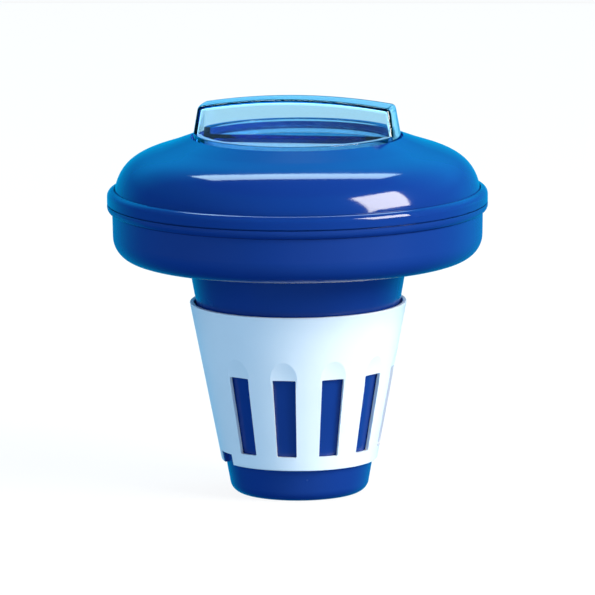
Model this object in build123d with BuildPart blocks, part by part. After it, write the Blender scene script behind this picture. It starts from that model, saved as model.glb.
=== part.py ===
"""Floating chlorine dispenser, in millimetres.

A sealed ring float carries a tapered tablet basket. A slotted ring turns on the basket and opens or closes
its slots, and a clear cap with a hollow grip closes the top. +Z is up, and the origin is the centre of the
flat base. Angles round the axis start at -Y, the front, and grow towards +X.
"""

from build123d import *
from math import atan2, cos, radians, sin, tan
import os

# ---- driving dimensions ----
FLOAT_R = 82.5  # the bead round the equator
SEAM_Z = 126.95  # where the two float shells meet
SHELL_WALL = 2.2
SEAM_GAP = 0.6  # height of the narrow groove left all round at the seam
SEAM_GAP_DEPTH = 1.2
SEAM_CHAMFER = 0.2  # on the lower shell

# Upper float shell: the dome
BEAD_TOP_Z = 133.2
BEAD_TOP_ROUND_R = 2.9
GROOVE_DEPTH = 0.7  # between the bead and the dome
DOME_FOOT_R = 79.2
DOME_FOOT_LEAN = 9.0  # degrees inwards from vertical
DOME_FOOT_REACH = 15.5  # how far the curve keeps that direction
SHOULDER_R = 56.0  # where the curve meets the straight cone round the mouth
SHOULDER_REACH = 8.6
MOUTH_R = 46.0
MOUTH_Z = 155.9
MOUTH_SLOPE = 20.3  # degrees below horizontal

# Upper float shell: the seat and lock for the cap
SEAT_Z = 152.8
SEAT_BORE_R = 42.0
ENTRY_R = 44.6
ENTRY_ANGLE = 30.0
COLLAR_END_Z = 132.4

# Lower float shell: the pan
BEAD_BOTTOM_Z = 123.1
BEAD_BOTTOM_ROUND_R = 2.8
PAN_WALL_TOP_R = 80.3
PAN_WALL_FOOT_R = 79.9
PAN_Z = 102.6
PAN_CORNER_R = 10.3
TONGUE_TOP_Z = 129.9
JOINT_GAP = 0.1  # round the joints that are welded shut

# Tablet basket
BASKET_BASE_R = 29.3
BASKET_SLOPE = 0.18  # radius gained per millimetre of height
BASKET_WALL = 2.0
BASKET_CORNER_R = 5.4
FLANGE_R = 57.0
SOCKET_DEPTH = 4.0

# Dosing ring and the slots
RING_TOP_Z = 83.7
RING_BOTTOM_Z = 14.5
RING_TOP_R = 47.1
RING_BOTTOM_R = 33.8
RING_TOP_WALL = 1.8
RING_BOTTOM_WALL = 1.5
RING_EDGE_ROUND = 0.4
SLOT_PLACES = 12
SLOT_ANGLE = 14.0
SLOT_BOTTOM_Z = 20.7
SLOT_TOP_Z = 55.3
SLOT_CORNER_R = 0.5
SCOOP_BALL_R = 45.0  # of the shallow round hollow over each slot of the ring
SCOOP_DEPTH = 0.8
BASKET_SLOT_INSET = 1.0  # the basket's slots are this much shorter at each end
PLAIN_PANELS = (-60.0, 120.0)  # slot places left plain, over the stop lugs

# Stop lugs on the basket, in notches in the ring's lower edge
RING_TRAVEL = 15.0  # degrees, from shut to fully open
LUG_ANGLE = 3.0
LUG_PLAY = 0.4  # degrees, on each side
LUG_GAP = 0.3  # above the lug
LUG_PROUD = 1.7
NOTCH_HEIGHT = 4.8
NOTCH_LEAD = 7.5  # degrees from the notch's start to the middle of its panel

# Cap
CAP_R = 45.6  # at the seat
CAP_WALL = 1.8
CAP_SEAT_GAP = 0.2
CAP_RIM_Z = 157.6
CAP_DRAFT = 0.18  # radius or half-width lost per millimetre of height
CAP_RIM_ROUND = 0.4
WELL_R = 41.4
WELL_FLOOR_Z = 154.4
SKIRT_END_Z = 144.4
GRIP_TOP_Z = 172.7
GRIP_TOP_HALF_W = 8.6
GRIP_ARCH_R = 250.0
GRIP_CORNER_R = 2.4
GRIP_EDGE_R = 2.5
HOLLOW_CORNER_R = 0.8
BAYONET_COUNT = 2  # front and back
BAYONET_R = 44.1
BAYONET_ANGLE = 24.0
BAYONET_HEIGHT = 2.0
BAYONET_DROP = 0.5  # below the seat ring

# ---- derived dimensions ----
SLOT_PITCH = 360 / SLOT_PLACES
NOTCH_ANGLE = RING_TRAVEL + LUG_ANGLE + 2 * LUG_PLAY
COLLAR_R = MOUTH_R + SHELL_WALL
FLANGE_Z = PAN_Z + SHELL_WALL
TONGUE_R = FLOAT_R - SHELL_WALL - JOINT_GAP
RING_LEAN = atan2(RING_TOP_R - RING_BOTTOM_R, RING_TOP_Z - RING_BOTTOM_Z)  # radians from upright
SEAT_UNDERSIDE_Z = SEAT_Z - SHELL_WALL
CUT_MARGIN = 5.0  # how far a cutter runs past the wall it cuts
WALL_OVERLAP = 0.5  # how far an added feature runs into its wall
STEEP = 0.9  # an edge that climbs by more than this share of its length stands upright


# ---- shared geometry ----
def outward(angle):
    """Unit vector away from the axis."""
    turn = radians(angle)
    return Vector(sin(turn), -cos(turn), 0)


def facing_plane(angle):
    """Plane through the axis that looks outwards, with its y direction up."""
    return Plane(origin=(0, 0, 0), x_dir=outward(angle + 90), z_dir=outward(angle))


def radial_plane(angle):
    """Plane through the axis whose x direction points outwards, with its y direction up."""
    return Plane(origin=(0, 0, 0), x_dir=outward(angle), z_dir=outward(angle - 90))


def sector(inner_r, outer_r, width):
    """Ring sector centred on the front."""
    turns = (-width / 2, 0, width / 2)
    inner = [outward(a) * inner_r for a in turns]
    outer = [outward(a) * outer_r for a in turns]
    with BuildSketch() as shape:
        with BuildLine():
            ThreePointArc(*inner)
            Line(inner[-1], outer[-1])
            ThreePointArc(*outer)
            Line(outer[0], inner[0])
        make_face()
    return shape.sketch


def basket_r(z):
    """Outer radius of the basket's cone."""
    return BASKET_BASE_R + BASKET_SLOPE * z


def ring_r(z):
    """Outer radius of the dosing ring's cone."""
    return RING_BOTTOM_R + tan(RING_LEAN) * (z - RING_BOTTOM_Z)


def slot(radius_at, inset=0.0):
    """One slot seen from outside. Its sides follow the cone."""
    half_angle = tan(radians(SLOT_ANGLE / 2))
    low_z = SLOT_BOTTOM_Z + inset
    high_z = SLOT_TOP_Z - inset
    low = radius_at(low_z) * half_angle
    high = radius_at(high_z) * half_angle
    with BuildSketch() as shape:
        with BuildLine():
            Polyline((-low, low_z), (low, low_z), (high, high_z), (-high, high_z), close=True)
        make_face()
        fillet(shape.vertices(), SLOT_CORNER_R)
    return shape.sketch


def slot_angles(offset=0.0):
    """Angles of the slots, with the plain panels left out."""
    plain = [a % 360 for a in PLAIN_PANELS]
    return [a + offset for a in (i * SLOT_PITCH for i in range(SLOT_PLACES)) if a not in plain]


def outer_corner(shape, z):
    """The vertex of a section at height z that is furthest from the axis."""
    return shape.vertices().filter_by_position(Axis.Y, z, z).sort_by(Axis.X)[-1]


def draw_dome(inset):
    """Draws the dome's profile, moved inwards by a wall, and returns its foot and its mouth."""
    lean = radians(DOME_FOOT_LEAN)
    slope = radians(MOUTH_SLOPE)
    downhill = Vector(cos(slope), -sin(slope))
    foot = Vector(DOME_FOOT_R - inset, BEAD_TOP_Z - GROOVE_DEPTH)
    mouth = Vector(MOUTH_R, MOUTH_Z - inset / cos(slope))
    shoulder = mouth + downhill * ((SHOULDER_R - MOUTH_R) / cos(slope))
    Bezier(
        foot,
        foot + Vector(-sin(lean), cos(lean)) * DOME_FOOT_REACH,
        shoulder + downhill * SHOULDER_REACH,
        shoulder,
    )
    Line(shoulder, mouth)
    return foot, mouth


def cap_side_r(z):
    """Outer radius of the cap's sloping side."""
    return CAP_R - CAP_DRAFT * (z - SEAT_Z)


def grip_block(inset, bottom_z, corner_r, edge_r):
    """Arched block with two sloping faces and two ends that follow the cap's side."""
    reach = CAP_R + CUT_MARGIN
    top_z = GRIP_TOP_Z - inset
    arch_end_z = top_z - reach**2 / (2 * GRIP_ARCH_R)
    half_top = GRIP_TOP_HALF_W - inset
    half_bottom = half_top + CAP_DRAFT * (GRIP_TOP_Z - bottom_z)
    with BuildPart() as block:
        with BuildSketch(Plane.XZ):
            with BuildLine():
                ThreePointArc((-reach, arch_end_z), (0, top_z), (reach, arch_end_z))
                Polyline((reach, arch_end_z), (reach, bottom_z), (-reach, bottom_z), (-reach, arch_end_z))
            make_face()
        extrude(amount=reach, both=True)
        with BuildSketch(Plane.YZ):
            with BuildLine():
                Polyline(
                    (-half_bottom, bottom_z),
                    (half_bottom, bottom_z),
                    (half_top, GRIP_TOP_Z),
                    (-half_top, GRIP_TOP_Z),
                    close=True,
                )
            make_face()
        extrude(amount=reach, both=True, mode=Mode.INTERSECT)
        with BuildSketch(Plane.YZ):
            with BuildLine():
                Polyline(
                    (0, bottom_z),
                    (cap_side_r(bottom_z) - inset, bottom_z),
                    (cap_side_r(GRIP_TOP_Z) - inset, GRIP_TOP_Z),
                    (0, GRIP_TOP_Z),
                    close=True,
                )
            make_face()
        revolve(axis=Axis.Z, mode=Mode.INTERSECT)
        fillet([e for e in block.edges() if abs(e.tangent_at(0.5).Z) > STEEP], corner_r)
        crown = block.faces().sort_by(Axis.Z)[-1]
        fillet(crown.edges(), edge_r)
    return block.part


# ---- upper float shell ----
entry = sector(SEAT_BORE_R - CUT_MARGIN, ENTRY_R, ENTRY_ANGLE)
with BuildPart() as float_top:
    bead_round_z = BEAD_TOP_Z - BEAD_TOP_ROUND_R
    with BuildSketch(Plane.XZ):
        with BuildLine():
            dome_foot, dome_mouth = draw_dome(0)
            bead_start = (FLOAT_R, bead_round_z)
            bead_end = (FLOAT_R - BEAD_TOP_ROUND_R, BEAD_TOP_Z)
            Polyline(
                dome_mouth,
                (0, MOUTH_Z),
                (0, SEAM_Z),
                (FLOAT_R - SEAM_GAP_DEPTH, SEAM_Z),
                (FLOAT_R - SEAM_GAP_DEPTH, SEAM_Z + SEAM_GAP),
                (FLOAT_R, SEAM_Z + SEAM_GAP),
                bead_start,
            )
            RadiusArc(bead_start, bead_end, -BEAD_TOP_ROUND_R)
            Line(bead_end, dome_foot)
        make_face()
    revolve(axis=Axis.Z)
    # air chamber
    with BuildSketch(Plane.XZ):
        with BuildLine():
            lining_foot, lining_mouth = draw_dome(SHELL_WALL)
            Polyline(
                lining_mouth,
                (0, lining_mouth.Y),
                (0, SEAM_Z),
                (FLOAT_R - SHELL_WALL, SEAM_Z),
                (FLOAT_R - SHELL_WALL, bead_round_z),
                lining_foot,
            )
        make_face()
    revolve(axis=Axis.Z, mode=Mode.SUBTRACT)
    # collar down to the basket's socket
    with BuildSketch(Plane.XY.offset(COLLAR_END_Z)):
        Circle(COLLAR_R)
    extrude(amount=MOUTH_Z - SHELL_WALL - COLLAR_END_Z)
    with BuildSketch(Plane.XY.offset(COLLAR_END_Z)):
        Circle(MOUTH_R)
    extrude(amount=SEAT_UNDERSIDE_Z - COLLAR_END_Z, mode=Mode.SUBTRACT)
    # the cap's seat
    with BuildSketch(Plane.XY.offset(SEAT_Z)):
        Circle(MOUTH_R)
    extrude(amount=MOUTH_Z - SEAT_Z + CUT_MARGIN, mode=Mode.SUBTRACT)
    with BuildSketch(Plane.XY.offset(SEAT_UNDERSIDE_Z)):
        Circle(SEAT_BORE_R)
        with PolarLocations(0, BAYONET_COUNT):
            add(entry)
    extrude(amount=SHELL_WALL, mode=Mode.SUBTRACT)
float_top.part.label = "float_top"


# ---- lower float shell ----
with BuildPart() as float_bottom:
    pan_round_z = BEAD_BOTTOM_Z + BEAD_BOTTOM_ROUND_R
    with BuildSketch(Plane.XZ) as pan_section:
        with BuildLine():
            bead_start = (FLOAT_R, pan_round_z)
            bead_end = (FLOAT_R - BEAD_BOTTOM_ROUND_R, BEAD_BOTTOM_Z)
            Polyline(
                (0, PAN_Z),
                (0, SEAM_Z),
                (FLOAT_R - SEAM_CHAMFER, SEAM_Z),
                (FLOAT_R, SEAM_Z - SEAM_CHAMFER),
                bead_start,
            )
            RadiusArc(bead_start, bead_end, BEAD_BOTTOM_ROUND_R)
            wall_top = (PAN_WALL_TOP_R, BEAD_BOTTOM_Z)
            Polyline(bead_end, wall_top, (PAN_WALL_FOOT_R, PAN_Z), (0, PAN_Z))
        make_face()
        fillet(outer_corner(pan_section, PAN_Z), PAN_CORNER_R)
    revolve(axis=Axis.Z)
    # air chamber, with a tongue that lines the two shells up
    with BuildSketch(Plane.XZ) as chamber_section:
        with BuildLine():
            Polyline(
                (0, FLANGE_Z),
                (0, SEAM_Z),
                (PAN_WALL_TOP_R - SHELL_WALL, SEAM_Z),
                (PAN_WALL_FOOT_R - SHELL_WALL, FLANGE_Z),
                close=True,
            )
        make_face()
        fillet(outer_corner(chamber_section, FLANGE_Z), PAN_CORNER_R - SHELL_WALL)
    revolve(axis=Axis.Z, mode=Mode.SUBTRACT)
    with BuildSketch(Plane.XY.offset(SEAM_Z)):
        Circle(TONGUE_R)
        Circle(PAN_WALL_TOP_R - SHELL_WALL, mode=Mode.SUBTRACT)
    extrude(amount=TONGUE_TOP_Z - SEAM_Z)
    # hole for the basket
    with BuildSketch(Plane.XY.offset(PAN_Z)):
        Circle(basket_r(FLANGE_Z) + JOINT_GAP)
    extrude(amount=SHELL_WALL, mode=Mode.SUBTRACT)
float_bottom.part.label = "float_bottom"


# ---- tablet basket ----
basket_slot = slot(basket_r, BASKET_SLOT_INSET)
with BuildPart() as tablet_basket:
    socket_r = COLLAR_R + JOINT_GAP
    socket_outer_r = socket_r + BASKET_WALL
    socket_z = COLLAR_END_Z - SOCKET_DEPTH
    flange_top_z = FLANGE_Z + BASKET_WALL
    with BuildSketch(Plane.XZ) as canister_section:
        with BuildLine():
            Polyline(
                (0, 0),
                (BASKET_BASE_R, 0),
                (basket_r(FLANGE_Z), FLANGE_Z),
                (FLANGE_R, FLANGE_Z),
                (FLANGE_R, flange_top_z),
                (COLLAR_R, flange_top_z),
                (COLLAR_R, socket_z),
                (socket_outer_r, socket_z),
                (socket_outer_r, COLLAR_END_Z + SOCKET_DEPTH),
                (socket_r, COLLAR_END_Z + SOCKET_DEPTH),
                (socket_r, COLLAR_END_Z),
                (0, COLLAR_END_Z),
                close=True,
            )
        make_face()
        fillet(outer_corner(canister_section, 0), BASKET_CORNER_R)
    revolve(axis=Axis.Z)
    # space for the tablets
    with BuildSketch(Plane.XZ) as space_section:
        with BuildLine():
            Polyline(
                (0, BASKET_WALL),
                (basket_r(BASKET_WALL) - BASKET_WALL, BASKET_WALL),
                (basket_r(FLANGE_Z) - BASKET_WALL, FLANGE_Z),
                (basket_r(FLANGE_Z) - BASKET_WALL, COLLAR_END_Z),
                (0, COLLAR_END_Z),
                close=True,
            )
        make_face()
        fillet(outer_corner(space_section, BASKET_WALL), BASKET_CORNER_R - BASKET_WALL)
    revolve(axis=Axis.Z, mode=Mode.SUBTRACT)
    # slots, shut off by the dosing ring until it turns
    for angle in slot_angles(-RING_TRAVEL):
        with BuildSketch(facing_plane(angle)):
            add(basket_slot)
        extrude(amount=FLOAT_R, mode=Mode.SUBTRACT)
    # stop lugs
    for panel in PLAIN_PANELS:
        lug_start = panel - NOTCH_LEAD + LUG_PLAY
        lug_top_z = RING_BOTTOM_Z + NOTCH_HEIGHT - LUG_GAP
        with BuildSketch(radial_plane(lug_start)):
            with BuildLine():
                Polyline(
                    (basket_r(RING_BOTTOM_Z) - WALL_OVERLAP, RING_BOTTOM_Z),
                    (basket_r(RING_BOTTOM_Z) + LUG_PROUD, RING_BOTTOM_Z),
                    (basket_r(lug_top_z) + LUG_PROUD, lug_top_z),
                    (basket_r(lug_top_z) - WALL_OVERLAP, lug_top_z),
                    close=True,
                )
            make_face()
        revolve(axis=Axis.Z, revolution_arc=LUG_ANGLE)
tablet_basket.part.label = "tablet_basket"


# ---- dosing ring ----
ring_slot = slot(ring_r)
notch = sector(RING_BOTTOM_R - CUT_MARGIN, RING_TOP_R, NOTCH_ANGLE)
with BuildPart() as dosing_ring:
    with BuildSketch(Plane.XZ) as sleeve_section:
        with BuildLine():
            Polyline(
                (RING_BOTTOM_R - RING_BOTTOM_WALL, RING_BOTTOM_Z),
                (RING_BOTTOM_R, RING_BOTTOM_Z),
                (RING_TOP_R, RING_TOP_Z),
                (RING_TOP_R - RING_TOP_WALL, RING_TOP_Z),
                close=True,
            )
        make_face()
        fillet(sleeve_section.vertices(), RING_EDGE_ROUND)
    revolve(axis=Axis.Z)
    # slots, each with a shallow round hollow over its top end
    for angle in slot_angles():
        ball_reach = SCOOP_BALL_R - SCOOP_DEPTH
        ball_out = ring_r(SLOT_TOP_Z) + ball_reach * cos(RING_LEAN)
        ball_z = SLOT_TOP_Z - ball_reach * sin(RING_LEAN)
        with Locations(outward(angle) * ball_out + Vector(0, 0, ball_z)):
            Sphere(SCOOP_BALL_R, mode=Mode.SUBTRACT)
        with BuildSketch(facing_plane(angle)):
            add(ring_slot)
        extrude(amount=FLOAT_R, mode=Mode.SUBTRACT)
    with BuildSketch(Plane.XY.offset(RING_BOTTOM_Z)):
        for panel in PLAIN_PANELS:
            with Locations(Rotation(0, 0, panel - NOTCH_LEAD + NOTCH_ANGLE / 2)):
                add(notch)
    extrude(amount=NOTCH_HEIGHT, mode=Mode.SUBTRACT)
dosing_ring.part.label = "dosing_ring"


# ---- cap ----
grip = grip_block(0, WELL_FLOOR_Z - WALL_OVERLAP, GRIP_CORNER_R, GRIP_EDGE_R)
hollow = grip_block(CAP_WALL, SKIRT_END_Z, HOLLOW_CORNER_R, HOLLOW_CORNER_R)
bayonet_lug = sector(WELL_R - WALL_OVERLAP, BAYONET_R, BAYONET_ANGLE)
with BuildPart() as cap:
    flange_z = SEAT_Z + CAP_SEAT_GAP
    with BuildSketch(Plane.XZ) as lid_section:
        with BuildLine():
            Polyline(
                (0, WELL_FLOOR_Z - CAP_WALL),
                (WELL_R - CAP_WALL, WELL_FLOOR_Z - CAP_WALL),
                (WELL_R - CAP_WALL, SKIRT_END_Z),
                (WELL_R, SKIRT_END_Z),
                (WELL_R, flange_z),
                (cap_side_r(flange_z), flange_z),
                (cap_side_r(CAP_RIM_Z), CAP_RIM_Z),
                (WELL_R, CAP_RIM_Z),
                (WELL_R, WELL_FLOOR_Z),
                (0, WELL_FLOOR_Z),
                close=True,
            )
        make_face()
        fillet(lid_section.vertices().filter_by_position(Axis.Y, CAP_RIM_Z, CAP_RIM_Z), CAP_RIM_ROUND)
    revolve(axis=Axis.Z)
    add(grip)
    add(hollow, mode=Mode.SUBTRACT)
    with BuildSketch(Plane.XY.offset(SEAT_UNDERSIDE_Z - BAYONET_DROP - BAYONET_HEIGHT)):
        with PolarLocations(0, BAYONET_COUNT):
            add(bayonet_lug)
    extrude(amount=BAYONET_HEIGHT)
cap.part.label = "cap"


# ---- export ----
os.makedirs("parts", exist_ok=True)
for piece in (float_top, float_bottom, tablet_basket, dosing_ring, cap):
    export_step(piece.part, f"parts/{piece.part.label}.step")
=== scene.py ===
"""Looks of the floating chlorine dispenser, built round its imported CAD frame. Metres, +Z up."""
from math import cos, pi, radians, sin, tan

import bpy
from mathutils import Matrix, Vector

# ---- camera ----
VIEW_AZIMUTH = 9.0  # degrees, from -Y towards +X
VIEW_ELEVATION = 9.5
VIEW_ROLL = -0.45
VIEW_DISTANCE = 3.6
VIEW_HEIGHT = 0.0849  # height on the axis that the camera looks at
VIEW_SIDE_STEP = -0.0003
SENSOR_WIDTH = 36.0  # millimetres
FIELD_WIDTH = 0.2582  # width that the picture takes in at the axis

# ---- studio ----
STUDIO_RADIUS = 7.0
BACKDROP_SEGMENTS = 64
BACKDROP_RINGS = 32
FLOOR_GLOW = 0.9
FLOOR_MATT = 0.12
BACKDROP_GLOW = 1.0
BACKDROP_MATT = 0.0
WHITE = (1, 1, 1)

# Colour of the sky by height, from -1 straight down to 1 straight up.
SKY = (
    (-1.0, (0.0, 0.10, 0.22)),
    (-0.3, (0.0, 0.45, 0.85)),
    (0.0, (0.0, 0.50, 0.95)),
    (0.25, (0.0, 0.40, 0.85)),
    (0.45, (0.0, 0.75, 1.5)),
    (0.78, (0.0, 0.75, 1.5)),
    (0.86, (0.0, 0.05, 0.1)),
)
SKY_REAR_FROM = 0.25  # how far towards +Y the sky starts to brighten, and where it is full
SKY_REAR_FULL = 0.75
SKY_FRONT_STRENGTH = 0.25
SKY_REAR_STRENGTH = 1.0

# ---- lamps ----
LIGHT_DISTANCE = 1.6
# name, azimuths, elevations, radiance, colour, the point it faces, whether gloss shows it
LAMPS = (
    ("key", (52, 88), (14, 46), 17.0, (1, 0.95, 0.84), (0.05, -0.05, 0.14), True),
    ("rear_strip", (146, 234), (52, 66), 8.0, (0.62, 0.90, 1.0), (0, -0.06, 0.15), True),
    ("left_fill", (-120, -10), (-15, 50), 1.45, (0.50, 0.76, 1.03), (0, 0, 0.10), False),
    ("front_fill", (-5, 65), (-15, 20), 1.05, (0.82, 0.93, 1.12), (0, 0, 0.08), False),
    ("top_fill", (140, 220), (45, 89), 1.6, (0.4, 0.7, 1.0), (0, 0, 0.10), False),
    ("right_fill", (50, 140), (-30, 30), 1.0, (0.3, 0.75, 1.2), (0, 0, 0.10), False),
    ("back_fill", (150, 220), (-10, 25), 0.7, (0.55, 0.8, 1.0), (0, 0, 0.08), False),
    ("low_fill", (-50, 60), (-65, -20), 1.0, (0.3, 0.75, 1.2), (0, 0, 0.06), False),
)

# ---- moulded plastic ----
BLUE = (0.006, 0.035, 0.215)
OFF_WHITE = (0.84, 0.86, 0.88)
MOULDED_SPECULAR = 0.5
FLOW_SCALE, FLOW_DETAIL = 22, 3
FLOW_DARK, FLOW_LIGHT = 0.92, 1.08  # factors on the colour
FLOW_SMOOTH, FLOW_ROUGH = 0.85, 1.15  # factors on the roughness
WAVE_SCALE, WAVE_DETAIL = 75, 1
WAVE_HEIGHT = 0.00003
GRAIN_SCALE, GRAIN_DETAIL = 1800, 2
NOISE_LOW, NOISE_HIGH = 0.3, 0.7  # the part of the noise that is stretched over a range

# ---- clear plastic ----
CLEAR_IOR = 1.49
SMEAR_SCALE, SMEAR_DETAIL = 60, 3
SMEAR_SMOOTH, SMEAR_ROUGH = 0.012, 0.035
CLEAR_WAVE_SCALE, CLEAR_WAVE_DETAIL = 90, 1
CLEAR_WAVE_HEIGHT = 0.00002
TINT = (0.08, 0.70, 0.94)
TINT_DENSITY = 280.0  # per metre

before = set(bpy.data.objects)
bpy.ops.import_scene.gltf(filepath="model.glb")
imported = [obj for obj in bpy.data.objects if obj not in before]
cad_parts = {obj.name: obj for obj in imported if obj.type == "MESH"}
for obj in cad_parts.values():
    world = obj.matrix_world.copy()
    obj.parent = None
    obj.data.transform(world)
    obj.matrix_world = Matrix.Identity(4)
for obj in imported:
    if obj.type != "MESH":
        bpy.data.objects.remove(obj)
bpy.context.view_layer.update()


def direction(azimuth, elevation):
    """Unit vector from the axis, with azimuth in degrees from -Y towards +X."""
    a = radians(azimuth)
    e = radians(elevation)
    return Vector((sin(a) * cos(e), -cos(a) * cos(e), sin(e)))


def aim(thing, back, roll=0.0):
    """Turns a camera or a light so that it looks along -back."""
    turn = (-back).to_track_quat("-Z", "Y").to_matrix().to_4x4()
    spin = Matrix.Rotation(radians(roll), 4, "Z")
    thing.matrix_world = Matrix.Translation(thing.location) @ turn @ spin


def add_to_scene(name, data):
    thing = bpy.data.objects.new(name, data)
    bpy.context.scene.collection.objects.link(thing)
    return thing


def make_camera():
    data = bpy.data.cameras.new("camera")
    data.sensor_width = SENSOR_WIDTH
    data.lens = SENSOR_WIDTH * VIEW_DISTANCE / FIELD_WIDTH
    data.clip_end = 4 * STUDIO_RADIUS
    camera = add_to_scene("camera", data)
    back = direction(VIEW_AZIMUTH, VIEW_ELEVATION)
    side = direction(VIEW_AZIMUTH + 90, 0)
    camera.location = Vector((0, 0, VIEW_HEIGHT)) + back * VIEW_DISTANCE + side * VIEW_SIDE_STEP
    aim(camera, back, VIEW_ROLL)
    bpy.context.scene.camera = camera


def softbox(name, azimuths, elevations, radiance, colour, target, mirrored):
    """Panel that fills a range of directions round the target. Gloss shows it only if mirrored."""
    azimuth = sum(azimuths) / 2
    elevation = sum(elevations) / 2
    half_width = radians(azimuths[1] - azimuths[0]) / 2 * cos(radians(elevation))
    half_height = radians(elevations[1] - elevations[0]) / 2
    data = bpy.data.lights.new(name, "AREA")
    data.shape = "RECTANGLE"
    data.size = 2 * LIGHT_DISTANCE * tan(half_width)
    data.size_y = 2 * LIGHT_DISTANCE * tan(half_height)
    data.energy = radiance * pi * data.size * data.size_y
    data.color = colour
    lamp = add_to_scene(name, data)
    back = direction(azimuth, elevation)
    lamp.location = Vector(target) + back * LIGHT_DISTANCE
    aim(lamp, back)
    lamp.visible_camera = False
    lamp.visible_glossy = mirrored


def make_world():
    """Sky that only gloss shows. It is brighter behind the object, and lights no surface."""
    world = bpy.data.worlds.new("sky")
    world.use_nodes = True
    nodes = world.node_tree.nodes
    links = world.node_tree.links
    coords = nodes.new("ShaderNodeTexCoord")
    split = nodes.new("ShaderNodeSeparateXYZ")
    stretch = nodes.new("ShaderNodeMapRange")
    stretch.inputs["From Min"].default_value = -1.0
    ramp = nodes.new("ShaderNodeValToRGB")
    links.new(coords.outputs["Generated"], split.inputs[0])
    links.new(split.outputs["Z"], stretch.inputs["Value"])
    links.new(stretch.outputs[0], ramp.inputs["Fac"])
    links.new(ramp.outputs["Color"], nodes["Background"].inputs["Color"])
    rear = nodes.new("ShaderNodeMapRange")
    rear.inputs["From Min"].default_value = SKY_REAR_FROM
    rear.inputs["From Max"].default_value = SKY_REAR_FULL
    rear.inputs["To Min"].default_value = SKY_FRONT_STRENGTH
    rear.inputs["To Max"].default_value = SKY_REAR_STRENGTH
    links.new(split.outputs["Y"], rear.inputs["Value"])
    links.new(rear.outputs[0], nodes["Background"].inputs["Strength"])
    elements = ramp.color_ramp.elements
    while len(elements) < len(SKY):
        elements.new(0.5)
    for element, (height, colour) in zip(elements, SKY):
        element.position = (height + 1) / 2
        element.color = (*colour, 1)
    world.cycles_visibility.diffuse = False
    world.cycles_visibility.transmission = False
    bpy.context.scene.world = world


def glow_material(name, colour, glow, matt):
    """Matt surface that also gives out light of its own."""
    mat = bpy.data.materials.new(name)
    mat.use_nodes = True
    shader = mat.node_tree.nodes["Principled BSDF"]
    shader.inputs["Base Color"].default_value = (matt, matt, matt, 1)
    shader.inputs["Roughness"].default_value = 1.0
    shader.inputs["Specular IOR Level"].default_value = 0.0
    shader.inputs["Emission Color"].default_value = (*colour, 1)
    shader.inputs["Emission Strength"].default_value = glow
    return mat


def make_studio():
    """White floor and a white shell round it, seen by the camera and through the clear cap."""
    floor_mesh = bpy.data.meshes.new("floor")
    r = STUDIO_RADIUS
    floor_mesh.from_pydata([(-r, -r, 0), (r, -r, 0), (r, r, 0), (-r, r, 0)], [], [(0, 1, 2, 3)])
    floor = add_to_scene("floor", floor_mesh)
    floor_mesh.materials.append(glow_material("floor", WHITE, FLOOR_GLOW, FLOOR_MATT))
    bpy.ops.mesh.primitive_uv_sphere_add(
        segments=BACKDROP_SEGMENTS, ring_count=BACKDROP_RINGS, radius=r
    )
    shell = bpy.context.object
    shell.name = "backdrop"
    shell.data.materials.append(glow_material("backdrop", WHITE, BACKDROP_GLOW, BACKDROP_MATT))
    for piece in (floor, shell):
        piece.visible_diffuse = False
        piece.visible_glossy = False
        piece.visible_shadow = False


# ---- materials ----
def principled(name):
    mat = bpy.data.materials.new(name)
    mat.use_nodes = True
    return mat, mat.node_tree.nodes["Principled BSDF"]


def noise(nodes, links, coords, scale, detail):
    texture = nodes.new("ShaderNodeTexNoise")
    texture.inputs["Scale"].default_value = scale
    texture.inputs["Detail"].default_value = detail
    links.new(coords.outputs["Object"], texture.inputs["Vector"])
    return texture.outputs["Fac"]


def vary(nodes, links, value, low, high):
    """Stretches noise over the range from low to high."""
    stretch = nodes.new("ShaderNodeMapRange")
    stretch.inputs["From Min"].default_value = NOISE_LOW
    stretch.inputs["From Max"].default_value = NOISE_HIGH
    stretch.inputs["To Min"].default_value = low
    stretch.inputs["To Max"].default_value = high
    links.new(value, stretch.inputs["Value"])
    return stretch.outputs[0]


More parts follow.
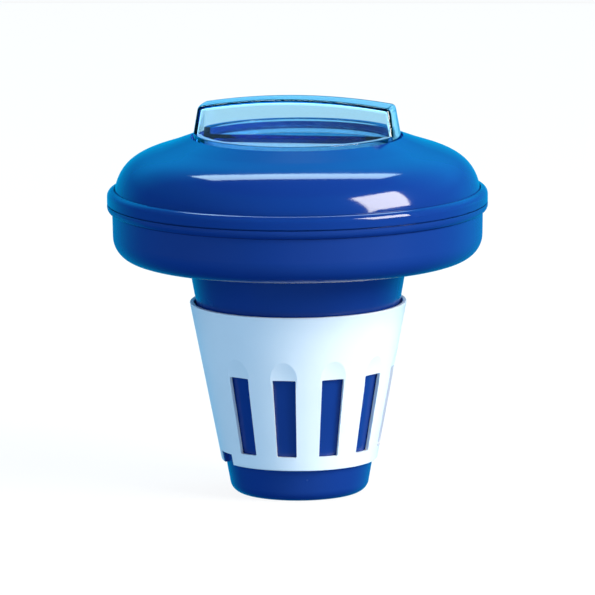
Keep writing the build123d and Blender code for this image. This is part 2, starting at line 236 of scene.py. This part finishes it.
def moulded_plastic(name, colour, roughness, grain_height):
    """Injection-moulded plastic: faint flow marks in the colour, a wavy skin and a fine grain."""
    mat, shader = principled(name)
    nodes, links = mat.node_tree.nodes, mat.node_tree.links
    coords = nodes.new("ShaderNodeTexCoord")
    flow = noise(nodes, links, coords, FLOW_SCALE, FLOW_DETAIL)
    wave = noise(nodes, links, coords, WAVE_SCALE, WAVE_DETAIL)
    grain = noise(nodes, links, coords, GRAIN_SCALE, GRAIN_DETAIL)
    blend = nodes.new("ShaderNodeMix")
    blend.data_type = "RGBA"
    blend.inputs["A"].default_value = (*[FLOW_DARK * c for c in colour], 1)
    blend.inputs["B"].default_value = (*[min(1.0, FLOW_LIGHT * c) for c in colour], 1)
    links.new(flow, blend.inputs["Factor"])
    links.new(blend.outputs["Result"], shader.inputs["Base Color"])
    varied = vary(nodes, links, flow, roughness * FLOW_SMOOTH, roughness * FLOW_ROUGH)
    links.new(varied, shader.inputs["Roughness"])
    wavy = nodes.new("ShaderNodeBump")
    wavy.inputs["Distance"].default_value = WAVE_HEIGHT
    links.new(wave, wavy.inputs["Height"])
    grainy = nodes.new("ShaderNodeBump")
    grainy.inputs["Distance"].default_value = grain_height
    links.new(grain, grainy.inputs["Height"])
    links.new(wavy.outputs["Normal"], grainy.inputs["Normal"])
    links.new(grainy.outputs["Normal"], shader.inputs["Normal"])
    shader.inputs["Specular IOR Level"].default_value = MOULDED_SPECULAR
    return mat


def clear_plastic(name):
    """Clear plastic with faint smears and waves, tinted through its volume."""
    mat, shader = principled(name)
    nodes, links = mat.node_tree.nodes, mat.node_tree.links
    coords = nodes.new("ShaderNodeTexCoord")
    shader.inputs["Base Color"].default_value = (1, 1, 1, 1)
    shader.inputs["Transmission Weight"].default_value = 1.0
    shader.inputs["IOR"].default_value = CLEAR_IOR
    smears = noise(nodes, links, coords, SMEAR_SCALE, SMEAR_DETAIL)
    links.new(vary(nodes, links, smears, SMEAR_SMOOTH, SMEAR_ROUGH), shader.inputs["Roughness"])
    wave = noise(nodes, links, coords, CLEAR_WAVE_SCALE, CLEAR_WAVE_DETAIL)
    wavy = nodes.new("ShaderNodeBump")
    wavy.inputs["Distance"].default_value = CLEAR_WAVE_HEIGHT
    links.new(wave, wavy.inputs["Height"])
    links.new(wavy.outputs["Normal"], shader.inputs["Normal"])
    body = nodes.new("ShaderNodeVolumeAbsorption")
    body.inputs["Color"].default_value = (*TINT, 1)
    body.inputs["Density"].default_value = TINT_DENSITY
    links.new(body.outputs["Volume"], nodes["Material Output"].inputs["Volume"])
    return mat


def dress(node, mat):
    """Gives a CAD piece its material."""
    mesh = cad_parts[node].data
    mesh.materials.clear()
    mesh.materials.append(mat)


make_camera()
make_world()
make_studio()
for lamp in LAMPS:
    softbox(*lamp)

blue_gloss = moulded_plastic("blue_gloss", BLUE, roughness=0.09, grain_height=0.0000005)
blue_satin = moulded_plastic("blue_satin", BLUE, roughness=0.24, grain_height=0.000002)
white_satin = moulded_plastic("white_satin", OFF_WHITE, roughness=0.36, grain_height=0.000003)
dress("float_top", blue_gloss)
dress("float_bottom", blue_satin)
dress("tablet_basket", blue_satin)
dress("dosing_ring", white_satin)
dress("cap", clear_plastic("clear_blue"))

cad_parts["cap"].visible_shadow = False  # light passes through the cap

bpy.context.scene.view_settings.view_transform = "Standard"
